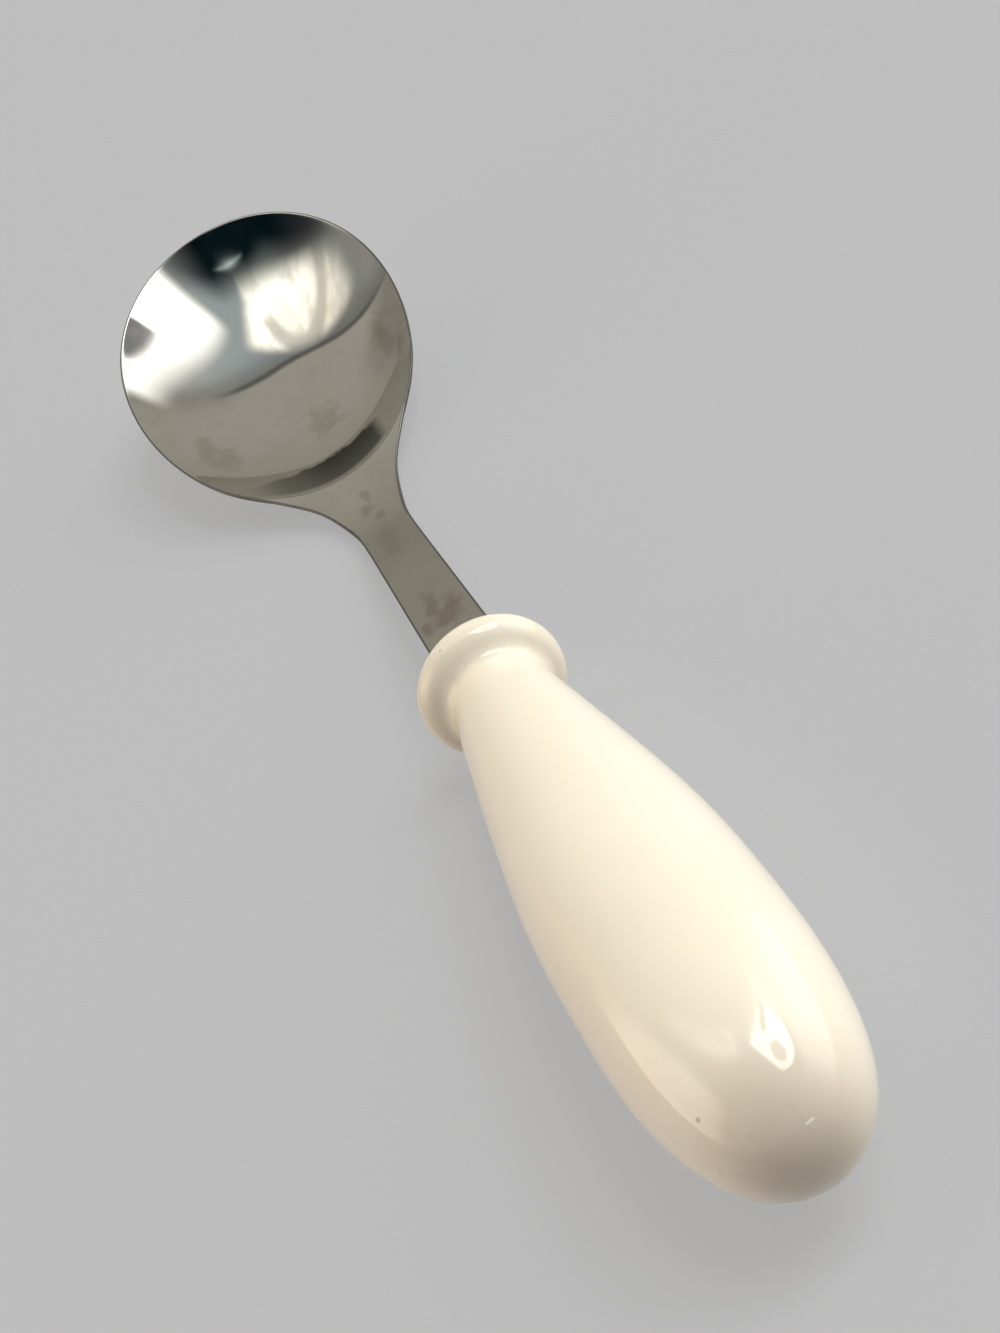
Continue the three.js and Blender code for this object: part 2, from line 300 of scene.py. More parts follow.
def blank_half_width(length):
    trim = sum(amount * math.exp(-((length - place) / run) ** 2) for place, run, amount in EDGE_TRIM)
    if length < flare_start:
        return NECK_ROOT_WIDTH / 2 + (waist_half - NECK_ROOT_WIDTH / 2) * length / flare_start + trim
    if length < flare_end:
        span = flare_end - flare_start
        t = (length - flare_start) / span
        width = waist_half + (rim_half_width(flare_end) - waist_half) * smooth(t)
        return width + t * t * (t - 1) * span * flare_slope + trim
    return rim_half_width(length)


def dish_depth(dish, length, side, soft=0.0):
    place = place_in(dish, length)
    fill = 1 - place ** 2 - (side / egg_half(dish, place)) ** 2
    fill = (fill + np.sqrt(fill ** 2 + soft ** 2)) / 2
    return dish["depth"] * fill * (1 - DEPTH_SKEW * place)


# The neck is drawn thin on its way to the rim
THINNING_START = flare_start - 12
THINNING_END = neck_end - 2


def edge_thickness(length):
    t = smooth((length - THINNING_START) / (THINNING_END - THINNING_START))
    return NECK_THICKNESS + (RIM_LAND - NECK_THICKNESS) * t


LIP_SOFTNESS = 0.012


def top_height(length, side):
    return -dish_depth(HOLLOW, length, side, LIP_SOFTNESS)


def bottom_height(length, side):
    dish = dish_depth(UNDERSIDE, length, side)
    flat = edge_thickness(length)
    bowl = RIM_LAND + dish
    blend = np.minimum(dish, UNDERSIDE_FILLET)
    mix = np.maximum(blend - np.abs(bowl - flat), 0)
    return -np.maximum(bowl, flat) - mix ** 2 / (4 * np.maximum(blend, 1e-9))


# Rows of points across the head: down its eased edge, over the land and to the middle
# How far in, in eases, the band of rough edge with its painted dark reflection reaches
EDGE_BAND_REACH = 1.8
EDGE_ROWS = np.array([0, 0.04, 0.14, 0.32, 0.6, 1.0, EDGE_BAND_REACH])
LAND_ROWS = 3
INSIDE_ROWS = 26
# The ease takes at most this share of the sheet, the edge rows of the half width, the middle of the rest
EASE_SHARE = 0.4
EDGE_SHARE_OF_WIDTH = 0.5
INSIDE_SHARE = 0.98


def edge_lean(length, half):
    """How much longer the edge is than its run along the spine."""
    if length + SLOPE_STEP < tip:
        spread = abs(float(blank_half_width(length + SLOPE_STEP)) - half) / SLOPE_STEP
    else:
        spread = half / max(2 * (tip - length), 1e-4)
    return math.hypot(1, spread)


def from_edge(length, side, half, lean):
    """How far the points of a section are inside the trimmed edge."""
    if length <= flare_end:
        return (half - np.abs(side)) / lean
    place = place_in(RIM, length)
    swell = egg_half(RIM, place)
    fill = 1 - place ** 2 - (side / swell) ** 2
    slope = np.hypot(4 * place / BOWL_LENGTH, 2 * side / swell ** 2)
    return np.maximum(fill, 0) / np.maximum(slope, 1e-6)


def head_section(length, inner):
    """One ring round the sheet, from the left edge over the top and back under."""
    half = float(blank_half_width(length))
    ease = min(EDGE_EASE, EASE_SHARE * float(edge_thickness(length)))
    lean = edge_lean(length, half)
    lip = np.maximum(half - EDGE_ROWS * ease * lean, half * (1 - EDGE_SHARE_OF_WIDTH * EDGE_ROWS))
    inner = min(inner, INSIDE_SHARE * lip[-1])
    land = np.linspace(lip[-1], inner, LAND_ROWS + 1)[1:-1]
    inside = inner * np.cos(np.linspace(0, math.pi / 2, INSIDE_ROWS + 1))
    side = np.concatenate([lip, land, inside])
    side = np.concatenate([side, -side[-2::-1]])
    away = from_edge(length, side, half, lean)
    edge = np.clip((EDGE_BAND_REACH - away / ease) / (EDGE_BAND_REACH - 1), 0, 1)
    away = np.minimum(away, ease)
    ease_drop = ease - np.sqrt(np.maximum(ease ** 2 - (ease - away) ** 2, 0))
    station = np.full_like(side, length)
    top = on_spine(station, side, top_height(station, side) - ease_drop)
    bottom = on_spine(station, side, bottom_height(station, side) + ease_drop)
    return np.vstack([top, bottom[::-1]]), np.concatenate([edge, edge[::-1]])


def tang_section(length, half, ring):
    """A ring with as many points as a head section, round the flat tang."""
    count = ring // 2
    side = half * np.cos(np.linspace(0, math.pi, count))
    station = np.full_like(side, length)
    top = on_spine(station, side, np.full_like(side, -TANG_STEP))
    bottom = on_spine(station, side, np.full_like(side, TANG_STEP - NECK_THICKNESS))
    return np.vstack([top, bottom[::-1]])


# Rows of points along the head; the bowl's first and last are this angle round from its ends
FIRST_ANGLE = math.radians(2.5)
NECK_ROWS = 84
NECK_INSIDE_SHARE = 0.6
BOWL_ROWS = 118
TIP_ROWS = [0.05, 0.3, 0.5, 0.65, 0.76, 0.84, 0.9, 0.94, 0.97, 0.985, 0.995]
TANG_END_ANGLE = 0.12
TANG_END_ROWS = 10
TANG_ROWS = 8


def head_places():
    """Where each section is along the head, and the half width of its middle."""
    narrow = float(egg_half(HOLLOW, -1)) * math.sin(FIRST_ANGLE)
    places = []
    for length in np.linspace(FIT_GAP, neck_end, NECK_ROWS)[:-1]:
        share = smooth((length - flare_start) / FLARE_LENGTH)
        places.append((length, waist_half * NECK_INSIDE_SHARE * (1 - share) + narrow * share))
    for angle in np.linspace(FIRST_ANGLE, math.pi - FIRST_ANGLE, BOWL_ROWS):
        place = -math.cos(angle)
        length = HOLLOW["start"] + (HOLLOW["end"] - HOLLOW["start"]) * (1 + place) / 2
        places.append((length, float(egg_half(HOLLOW, place)) * math.sin(angle)))
    for share in TIP_ROWS:
        places.append((HOLLOW["end"] + share * RIM_FLAT, narrow))
    return places


def tang_rows(ring):
    """The flat tang, from its round end to the mouth of the handle."""
    thickness = NECK_THICKNESS - 2 * TANG_STEP
    half = math.sqrt((bore_radius - GLUE_LINE) ** 2 - (thickness / 2) ** 2)
    rows = []
    for angle in np.linspace(TANG_END_ANGLE, math.pi / 2, TANG_END_ROWS):
        length = -TANG_LENGTH + half * (1 - math.cos(angle))
        rows.append(tang_section(length, half * math.sin(angle), ring))
    for length in np.linspace(-TANG_LENGTH + half, FIT_GAP, TANG_ROWS)[1:]:
        rows.append(tang_section(length, half, ring))
    return rows


def head_rows():
    """All rows of the head, and how much of the rough, painted-dark edge band is at each point."""
    sections, edges = zip(*[head_section(length, inner) for length, inner in head_places()])
    ring = len(sections[0])
    tang = tang_rows(ring)
    return np.array(tang + list(sections)), np.array([np.zeros(ring)] * len(tang) + list(edges))


# Handle: the profile turned about the axis, with the slight unevenness of a slip-cast, dipped piece

TURN_STEPS = 168
# Waves in the skin: (amount, times round, turn along, start)
WAVES = [(0.035, 2, 0.05, 0), (0.025, 3, -0.09, 1), (0.02, 1, 0.21, 0)]
SKIN_INSET = 0.08


def handle_rows():
    mouth = np.array([[0, bore_radius + MOUTH_EASE], [MOUTH_EASE, bore_radius]])
    inside = grip_profile(HANDLE_WALL, INSIDE_GRIP_STEPS, INSIDE_BUTT_STEPS)
    profile = np.vstack([outside[::-1], mouth, inside])
    turn = np.linspace(0, 2 * math.pi, TURN_STEPS, endpoint=False)
    x = np.repeat(-profile[:, :1], TURN_STEPS, axis=1)
    radius = np.repeat(profile[:, 1:], TURN_STEPS, axis=1)
    skin = (np.arange(len(profile)) < len(outside))[:, None]
    sway = np.zeros_like(x)
    for amount, times, along, start in WAVES:
        sway += amount * np.sin(times * turn[None, :] + along * x + start)
    fade = np.clip(radius / belly_radius, 0, 1) ** 2
    radius = radius + skin * fade * (sway - SKIN_INSET)
    rows = np.stack([x, radius * np.cos(turn), radius * np.sin(turn)], -1)
    return rows[1:-1]


# Materials

class Shader:
    """Short ways to add nodes to a material or world tree."""

    def __init__(self, tree):
        self.tree = tree

    def node(self, kind, **settings):
        node = self.tree.nodes.new(kind)
        for key, value in settings.items():
            setattr(node, key, value)
        return node

    def put(self, socket, value):
        if isinstance(value, bpy.types.NodeSocket):
            self.tree.links.new(value, socket)
        else:
            socket.default_value = value

    def math(self, operation, *values):
        node = self.node("ShaderNodeMath", operation=operation)
        for socket, value in zip(node.inputs, values):
            self.put(socket, value)
        return node.outputs[0]

    def line(self, value, slope, offset):
        """Slope times value, plus offset."""
        return self.math("ADD", self.math("MULTIPLY", value, slope), offset)

    def product(self, first, *others):
        for other in others:
            first = self.math("MULTIPLY", first, other)
        return first

    def distance(self, u, v):
        return self.math("SQRT", self.math("ADD", self.math("POWER", u, 2.0), self.math("POWER", v, 2.0)))

    def step(self, value, low, high, to_low=0.0, to_high=1.0):
        """A soft step between low and high, which may run downwards."""
        node = self.node("ShaderNodeMapRange", interpolation_type="SMOOTHSTEP")
        for socket, number in zip(node.inputs, (value, low, high, to_low, to_high)):
            self.put(socket, number)
        return node.outputs[0]

    def mix(self, share, a, b):
        node = self.node("ShaderNodeMix", data_type="RGBA")
        self.put(node.inputs[0], share)
        for socket, value in ((node.inputs[6], a), (node.inputs[7], b)):
            self.put(socket, (*value, 1) if isinstance(value, tuple) else value)
        return node.outputs[2]

    def vector(self, operation, *values, output=0):
        node = self.node("ShaderNodeVectorMath", operation=operation)
        for socket, value in zip(node.inputs, values):
            self.put(socket, value)
        return node.outputs[output]

    def scaled(self, vector, x, y, z):
        return self.vector("MULTIPLY", vector, (x, y, z))

    def parts(self, vector):
        node = self.node("ShaderNodeSeparateXYZ")
        self.put(node.inputs[0], vector)
        return node.outputs

    def bump(self, height, strength, distance):
        node = self.node("ShaderNodeBump")
        node.inputs["Strength"].default_value = strength
        node.inputs["Distance"].default_value = distance
        self.put(node.inputs["Height"], height)
        return node.outputs[0]

    def noise(self, vector, scale, detail=2.0, roughness=0.5):
        node = self.node("ShaderNodeTexNoise")
        self.put(node.inputs["Vector"], vector)
        node.inputs["Scale"].default_value = scale
        node.inputs["Detail"].default_value = detail
        node.inputs["Roughness"].default_value = roughness
        return node.outputs["Fac"]


def new_material(name):
    material = bpy.data.materials.new(name)
    material.use_nodes = True
    material.node_tree.nodes.clear()
    shader = Shader(material.node_tree)
    surface = shader.node("ShaderNodeBsdfPrincipled")
    output = shader.node("ShaderNodeOutputMaterial")
    shader.put(output.inputs["Surface"], surface.outputs[0])
    place = shader.node("ShaderNodeTexCoord").outputs["Object"]
    return material, shader, surface, place


# A fade is where it starts and ends and then, where it needs them, the values it runs between.
# A noise is its scale and then, where it needs them, its detail and roughness.
NOISE_MIDDLE = 0.5

# Glaze: its tones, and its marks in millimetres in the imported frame
IVORY = (0.92, 0.85, 0.695)
IVORY_PALE = (0.935, 0.872, 0.725)
IVORY_SCALE = 35
IVORY_FADE = (0.35, 0.65)
GLAZE_ROUGHNESS_SCALE = 160
GLAZE_ROUGHNESS_FADE = (0.3, 0.7, 0.035, 0.06)
GLAZE_IOR = 1.52
GLAZE_RIPPLE_SCALE = 120
GLAZE_RIPPLE_STRENGTH = 0.25
GLAZE_RIPPLE_HEIGHT = 0.1
# Painted shade: the glaze is darkened towards the butt, where less light falls on it
BUTT_SHADE_PLACE = (-121.8, 0, 18.6)
BUTT_SHADE_REACH = 13.5
BUTT_SHADE_FULL = 2
BUTT_SHADE_SHARE = 0.72
BUTT_SHADE_TONE = (0.62, 0.52, 0.405)
# Fine pits all over, in about one cell of four, and larger ones listed as (place, radius)
PIT_CELLS = 130
PIT_CHOICE = (0.72, 0.74)
PIT_FADE = (0.03, 0.012)
PIT_SHARE = 0.38
PIT_DENT = 0.8
PIT_TONE = (0.6, 0.47, 0.33)
PINHOLES = [
    ((-106.25, 1.62, 26.72), 0.16),
    ((-109.54, -6.34, 24.47), 0.14),
    ((-119.75, 3.87, 20.8), 0.2),
    ((-119.79, 6.93, 16.84), 0.18),
    ((-118.11, 8.21, 16.9), 0.22),
]
# Iron specks: (place, radius, share, tone)
SPECKS = [
    ((-115.34, 7.18, 21.54), 0.3, 0.62, (0.33, 0.24, 0.17)),
    ((-27.99, 3.15, 21.03), 0.3, 0.35, (0.45, 0.36, 0.27)),
]
# A crazing line and a nick: ((middle, way along, way across, half length, half width), (share, tone))
HAIRLINES = [
    (
        ((-120.97, -1.04, 20.04), (-0.551, -0.109, -0.828), (0.15, -0.989, 0.03), 2.6, 0.2),
        (0.16, (0.55, 0.45, 0.34)),
    ),
    (
        ((-121.41, -1.58, 19.76), (0.3, -0.9, 0.3), (0.55, 0.05, 0.83), 0.55, 0.2),
        (0.8, (0.97, 0.95, 0.9)),
    ),
]
HAIRLINE_CORE = 0.3
HAIRLINE_FULL = 0.7
SPOT_FADE = (1.2, 0.6)


def in_metres(point):
    return tuple(value * MILLIMETRE for value in point)


def spot(s, place, centre, radius):
    gap = s.vector("DISTANCE", place, in_metres(centre), output=1)
    return s.step(gap, *(radius * MILLIMETRE * share for share in SPOT_FADE))


def hairline(s, place, middle, run, across, half_length, half_width):
    """A line on the surface, seen as a thin slab through it."""
    half_length *= MILLIMETRE
    half_width *= MILLIMETRE
    offset = s.vector("SUBTRACT", place, in_metres(middle))
    along = s.math("ABSOLUTE", s.vector("DOT_PRODUCT", offset, run, output=1))
    beside = s.math("ABSOLUTE", s.vector("DOT_PRODUCT", offset, across, output=1))
    near = s.step(beside, half_width, half_width * HAIRLINE_CORE)
    inside = s.step(along, half_length, half_length * HAIRLINE_FULL)
    around = s.step(s.vector("LENGTH", offset, output=1), 2 * half_length, half_length)
    return s.product(near, inside, around)


def glaze_pits(s, place):
    cells = s.node("ShaderNodeTexVoronoi")
    cells.inputs["Scale"].default_value = PIT_CELLS
    s.put(cells.inputs["Vector"], place)
    chosen = s.step(s.parts(cells.outputs["Color"])[0], *PIT_CHOICE)
    pits = s.product(s.step(cells.outputs["Distance"], *PIT_FADE), chosen)
    for centre, radius in PINHOLES:
        pits = s.math("MAXIMUM", pits, spot(s, place, centre, radius))
    return pits


def glaze_material():
    material, s, surface, place = new_material("ivory_glaze")
    tone = s.mix(s.step(s.noise(place, IVORY_SCALE), *IVORY_FADE), IVORY, IVORY_PALE)
    from_butt = s.vector("DISTANCE", place, in_metres(BUTT_SHADE_PLACE), output=1)
    # painted shade, darkening the glaze towards the butt
    butt_shade = s.step(from_butt, BUTT_SHADE_REACH * MILLIMETRE, BUTT_SHADE_FULL * MILLIMETRE, 0.0, BUTT_SHADE_SHARE)
    tone = s.mix(butt_shade, tone, BUTT_SHADE_TONE)
    pits = glaze_pits(s, place)
    tone = s.mix(s.product(pits, PIT_SHARE), tone, PIT_TONE)
    for centre, radius, share, colour in SPECKS:
        tone = s.mix(s.product(spot(s, place, centre, radius), share), tone, colour)
    for shape, (share, colour) in HAIRLINES:
        tone = s.mix(s.product(hairline(s, place, *shape), share), tone, colour)
    s.put(surface.inputs["Base Color"], tone)
    rough = s.step(s.noise(place, GLAZE_ROUGHNESS_SCALE), *GLAZE_ROUGHNESS_FADE)
    s.put(surface.inputs["Roughness"], rough)
    surface.inputs["IOR"].default_value = GLAZE_IOR
    ripple = s.math("SUBTRACT", s.noise(place, GLAZE_RIPPLE_SCALE), s.product(pits, PIT_DENT))
    bump = s.bump(ripple, GLAZE_RIPPLE_STRENGTH, GLAZE_RIPPLE_HEIGHT * MILLIMETRE)
    s.put(surface.inputs["Normal"], bump)
    return material


# Steel: a mirror polish in the bowl and a satin one along the neck
BOWL_TONE = (0.575, 0.56, 0.52)
BOWL_CLOUD = (0.525, 0.502, 0.455)
NECK_TONE = (0.53, 0.515, 0.47)
NECK_CLOUD = (0.495, 0.47, 0.42)
CLOUD_NOISE = (70, 4, 0.6)
CLOUD_FADE = (0.42, 0.72)
NECK_FADE = (58, 44)
BOWL_ROUGHNESS_FADE = (0.45, 0.75, 0.035, 0.075)
NECK_ROUGHNESS_FADE = (0.3, 0.7, 0.16, 0.22)
SATIN_STRETCH = 0.05
SATIN_SCALE = 1800
WAVE_NOISE = (55, 1)
WAVE_STRENGTH = 0.1
WAVE_HEIGHT = 0.6
# Stains and wear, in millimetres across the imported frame: (x, y, half length, half width)
NECK_STAINS = [(-2.2, 0.7, 4.2, 1.0), (-5.2, -1.7, 3.8, 1.2), (-8, 0.2, 3, 1.9), (-8, 3.2, 2.4, 0.6)]
NECK_DOTS = [(44.6, -0.2, 1.6, 0.7), (41.3, 1.05, 1.5, 1.0), (37.7, -0.5, 1.3, 1.0)]
NECK_SMEAR = [(27, 0.5, 6, 1.6)]
BOWL_STAINS = [
    (75.8, -1.8, 3.5, 3.2),
    (76.7, 16.9, 3.6, 2.6),
    (79, 18.2, 5, 1.4),
    (78.8, -18.9, 5, 1.7),
    (71, -20.5, 4, 1),
]
RIM_SCUFF = [(69.6, -20.7, 3.2, 1.8)]
RIM_SCUFF_ROUGHNESS = 0.3
STAIN_EDGE = (1.7, 0.3)
STAIN_WOBBLE = 2.6
STAIN_WOBBLE_SCALE = 420
# Tints of the stains: (stains, share of the wobble, share, tone)
STAIN_TINTS = [
    (NECK_STAINS, 1.0, 0.75, (0.35, 0.3, 0.25)),
    (NECK_DOTS, 1.0, 0.6, (0.37, 0.32, 0.27)),
    (NECK_SMEAR, 0.3, 0.4, (0.37, 0.32, 0.27)),
    (BOWL_STAINS, 1.0, 0.5, (0.37, 0.335, 0.28)),
]
# Painted dark reflection in the crook below the lip: a near-black tone standing in for the dark crescent
# the bowl reflects there
LIP_START = 53.3
LIP_CURVE = 0.028
LIP_FADE = (-0.6, 1.4)
PAINTED_CROOK_END = (65, 63.7)
PAINTED_CROOK_SIDES = ((-10.3, -7.3), (17, 9))
PAINTED_CROOK_SHARE = (11, 1, 0.62, 1.0)
PAINTED_CROOK_TONE = (0.036, 0.035, 0.028)
# Edges are left rougher from the press than the faces, and their colour is painted dark: a painted dark
# reflection along them
PAINTED_EDGE_DARK_TONE = (0.08, 0.078, 0.072)
PAINTED_EDGE_DARK_SHARE = 0.9
EDGE_ROUGHNESS = 0.25


def stain(s, x, y, wobble, spots):
    """How much of any of these blots is at a place; their edges wander."""
    total = 0.0
    for centre_x, centre_y, half_length, half_width in spots:
        u = s.math("DIVIDE", s.math("SUBTRACT", x, centre_x), half_length)
        v = s.math("DIVIDE", s.math("SUBTRACT", y, centre_y), half_width)
        total = s.math("MAXIMUM", total, s.step(s.math("ADD", s.distance(u, v), wobble), *STAIN_EDGE))
    return total


# Painted dark reflection in the crook below the lip
def painted_crook_reflection(s, x, y, wobble):
    lip = s.line(s.math("POWER", y, 2.0), LIP_CURVE, LIP_START)
    past_lip = s.step(s.math("SUBTRACT", x, lip), *LIP_FADE)
    before_end = s.step(s.math("ADD", x, wobble), *PAINTED_CROOK_END)
    between = s.product(*(s.step(y, *fade) for fade in PAINTED_CROOK_SIDES))
    return s.product(past_lip, before_end, between, s.step(y, *PAINTED_CROOK_SHARE))


def steel_material():
    material, s, surface, place = new_material("stainless_steel")
    x, y = s.parts(s.scaled(place, *[1 / MILLIMETRE] * 3))[:2]
    cloud = s.noise(place, *CLOUD_NOISE)
    wobble = s.math("SUBTRACT", s.noise(place, STAIN_WOBBLE_SCALE), NOISE_MIDDLE)
    wobble = s.product(wobble, STAIN_WOBBLE)
    neck = s.step(x, *NECK_FADE)
    clouded = s.step(cloud, *CLOUD_FADE)
    tone = s.mix(neck, s.mix(clouded, BOWL_TONE, BOWL_CLOUD), s.mix(clouded, NECK_TONE, NECK_CLOUD))
    for spots, wander, share, colour in STAIN_TINTS:
        blots = stain(s, x, y, s.product(wobble, wander), spots)
        tone = s.mix(s.product(blots, share), tone, colour)
    # painted dark reflection in the crook below the lip
    tone = s.mix(painted_crook_reflection(s, x, y, wobble), tone, PAINTED_CROOK_TONE)
    edge = s.node("ShaderNodeAttribute", attribute_name="edge_wear_and_painted_dark").outputs["Fac"]
    # painted dark reflection along the edges; their roughness is added below
    tone = s.mix(s.product(edge, PAINTED_EDGE_DARK_SHARE), tone, PAINTED_EDGE_DARK_TONE)
    s.put(surface.inputs["Base Color"], tone)
    surface.inputs["Metallic"].default_value = 1
    lines = s.noise(s.scaled(place, SATIN_STRETCH, 1, 1), SATIN_SCALE)
    satin = s.product(neck, s.step(lines, *NECK_ROUGHNESS_FADE))
    polish = s.step(cloud, *BOWL_ROUGHNESS_FADE)
    scuff = s.product(stain(s, x, y, 0.0, RIM_SCUFF), RIM_SCUFF_ROUGHNESS)
    rough = s.math("ADD", s.math("ADD", satin, polish), s.line(edge, EDGE_ROUGHNESS, scuff))
    s.put(surface.inputs["Roughness"], rough)
    wave = s.bump(s.noise(place, *WAVE_NOISE), WAVE_STRENGTH, WAVE_HEIGHT * MILLIMETRE)
    s.put(surface.inputs["Normal"], wave)
    return material


# Epoxy
EPOXY_NOISE = (300, 3)
EPOXY_PALE = (0.62, 0.56, 0.45)
EPOXY_DARK = (0.5, 0.44, 0.34)
EPOXY_ROUGHNESS = 0.55


def epoxy_material():
    material, s, surface, place = new_material("tang_epoxy")
    tone = s.mix(s.noise(place, *EPOXY_NOISE), EPOXY_PALE, EPOXY_DARK)
    s.put(surface.inputs["Base Color"], tone)
    surface.inputs["Roughness"].default_value = EPOXY_ROUGHNESS
    return material


# Pieces

head_points, edge_wear_and_painted_dark = head_rows()
head = grid_mesh("pressed_spoon_head", head_points, steel_material(), {"edge_wear_and_painted_dark": edge_wear_and_painted_dark})
shell = grid_mesh("glazed_handle", handle_rows(), glaze_material())
frame["nodes"]["tang_adhesive"].data.materials.clear()
frame["nodes"]["tang_adhesive"].data.materials.append(epoxy_material())
for piece, node, slot in ((head, "spoon_head", "steel"), (shell, "handle_shell", "glaze")):
    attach(piece, "root")
    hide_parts(node)


# Floor

FLOOR_TONE = 0.521
FLOOR_GREY = (0.4955, 0.5046, 0.5314)
FLOOR_GREY_PALE = (0.506, 0.5152, 0.5423)
FLOOR_NOISE = (3, 1)
FLOOR_ROUGHNESS = 0.95
FLOOR_GLOW = 0.68
FLOOR_REACH = 30
FLOOR_DROP = 0.00005


def seen_directly(s):
    """1 for what the camera sees, straight or by way of a shiny surface."""
    path = s.node("ShaderNodeLightPath")
    seen = s.math("MAXIMUM", path.outputs["Is Camera Ray"], path.outputs["Is Glossy Ray"])
    return s.math("MAXIMUM", seen, path.outputs["Is Transmission Ray"])


def floor_material():
    material, s, surface, place = new_material("floor_grey")
    surface.inputs["Roughness"].default_value = FLOOR_ROUGHNESS
    surface.inputs["Specular IOR Level"].default_value = 0
    tone = s.mix(s.noise(place, *FLOOR_NOISE), FLOOR_GREY, FLOOR_GREY_PALE)
    s.put(surface.inputs["Base Color"], tone)
    glow = s.node("ShaderNodeEmission")
    glow.inputs["Color"].default_value = (FLOOR_TONE, FLOOR_TONE, FLOOR_TONE, 1)
    blend = s.node("ShaderNodeMixShader")
    s.put(blend.inputs[0], s.product(seen_directly(s), FLOOR_GLOW))
    s.put(blend.inputs[1], surface.outputs[0])
    s.put(blend.inputs[2], glow.outputs[0])
    output = next(node for node in material.node_tree.nodes if node.type == "OUTPUT_MATERIAL")
    s.put(output.inputs["Surface"], blend.outputs[0])
    return material


def make_floor():
    mesh = bpy.data.meshes.new("floor")
    signs = [(-1, -1), (1, -1), (1, 1), (-1, 1)]
    corners = [(x * FLOOR_REACH, y * FLOOR_REACH, -FLOOR_DROP) for x, y in signs]
    mesh.from_pydata(corners, [], [(0, 1, 2, 3)])
    mesh.materials.append(floor_material())
    floor = bpy.data.objects.new("floor", mesh)
    bpy.context.scene.collection.objects.link(floor)


# Studio

# Places are in degrees right of the zenith and ahead of it.
# An oval is its middle and its half sizes, right and ahead.
LIGHT_LEVEL = 1.15

# Ceiling, with its tones to the sides as (fade, tone)
CEILING = (0.44, 0.505, 0.525)
CEILING_SIDES = [
    ((5, 45), (0.7, 0.7, 0.68)),
    ((-14, -26), (0.325, 0.34, 0.335)),
    ((-38, -55), (0.62, 0.47, 0.36)),
]

# Dark of the room behind the camera
DARK = (0.001, 0.008, 0.012)
DARK_SIDES = [((-1, 13), (0.2, 0.21, 0.22)), ((-22, -45), (0.06, 0.06, 0.06))]
DARK_BEHIND = (0.02, 0.02, 0.02)
DARK_BEHIND_FADE = (-15, -35)
DARK_BOW = 0.0165
DARK_START = -2.4
DARK_DIP = (0, 14, 0.0, -6.0)
DARK_EDGE_START = 3.2
DARK_EDGE_END = (-10, -20, -2.8, -5.0)

# Thin strip of window light in the dark
STRIP = (1.5, 1.85, 1.9)
STRIP_SLANT = 0.17
STRIP_PLACE = 5.3
STRIP_HALF_WIDTH = 0.28
STRIP_OVAL = (-6.5, -5.5, 5.6, 100)
STRIP_FADE = (1.2, 0.5)

# Wall ahead, with a dark joint where it meets the ceiling
WALL = (0.43, 0.415, 0.373)
WALL_LOW = (0.31, 0.295, 0.25)
WALL_LOW_FADE = (40, 85)
WALL_CORNER = (0.29, 0.275, 0.24)
WALL_CORNER_LEFT = (-22, -34)
WALL_CORNER_LOW = (42, 52)
JOINT = (0.1, 0.1, 0.1)
JOINT_PLACE = 19.4
JOINT_BOW = (-3, 3, 0.0172, 0.0085)
JOINT_SOFTNESS = (8, 25, 0.8, 6.0)
JOINT_FADE = (1.4, 0.25)
JOINT_ENDS = ((30, 14), (-44, -36))
JOINT_SHARE = 0.85
JOINT_SHADE = (0.2, 0.2, 0.19)
JOINT_SHADE_FADE = (-10, 0, 0.0, 0.8)

# Pale sides of the tent: (fade to the side, fade from behind, tone), by the parts of a direction
TENT_SIDES = [
    ((-0.7, -0.86), (-0.75, -0.35), (2.1, 2.03, 1.92)),
    ((0.68, 0.84), (-0.4, 0.0), (2.3, 1.9, 1.58)),
]

# Warm cloth overhead, with a fold and creases
CLOTH = (1.6, 1.54, 1.36)
CLOTH_BRIGHT = (2.7, 2.63, 2.4)
CLOTH_BRIGHT_OVAL = (-16, 7, 16, 10)
CLOTH_BRIGHT_FADE = (1.3, 0.6)
CLOTH_BOW = 0.0155
CLOTH_START = -1.0
CLOTH_SIDE = 5.0
CLOTH_START_FADE = (-3.0, 4.5)
CLOTH_END_SLANT = 0.55
CLOTH_END_FADE = (15.0, 9.5)
CLOTH_LEFT_FADE = (-40, -31)
FOLD = (0.75, 0.73, 0.65)
FOLD_MIDDLE = (-22, 8, 1, 1)
FOLD_RADIUS = 14.0
FOLD_FADE = (4.0, 1.0)
FOLD_START_FADE = (3, 9)
FOLD_SHARE = 0.85
CREASE = (0.85, 0.83, 0.75)
CREASE_NOISE = (7, 3, 0.55)
CREASE_FADE = (0.46, 0.64, 0.0, 0.55)

# Ring lamp with a slit, and the white side of the tent beside it; the edge of both runs along a slant
LAMP = (7.1, 7.1, 7.1)
LAMP_SLANT = (0.669, 0.743)
LAMP_OVAL = (27, 0, 21, 21)
LAMP_OVAL_FADE = (1.03, 0.97)
LAMP_HOLE_OVAL = (31, -8, 7, 7)
LAMP_HOLE_FADE = (0.92, 1.08)
LAMP_EDGE_RISE = (2, 36, 3.2, 11.2)
LAMP_EDGE_FALL = (38, 54, 0.0, -3.5)
LAMP_EDGE_FADE = (1.6, 4.4)
LAMP_END_SLANT = 0.3
LAMP_END_FADE = (8.8, 11.3)
WHITE_SIDE = (1.9, 1.9, 1.85)
WHITE_EDGE_FADE = (-3.6, 3.4)
WHITE_END_FADE = (5.8, 10.8)
WHITE_ALONG_FADE = (53, 47)
WHITE_ACROSS_FADE = (34, 24)
SLIT = (0.28, 0.29, 0.3)
SLIT_MIDDLE = 30.3
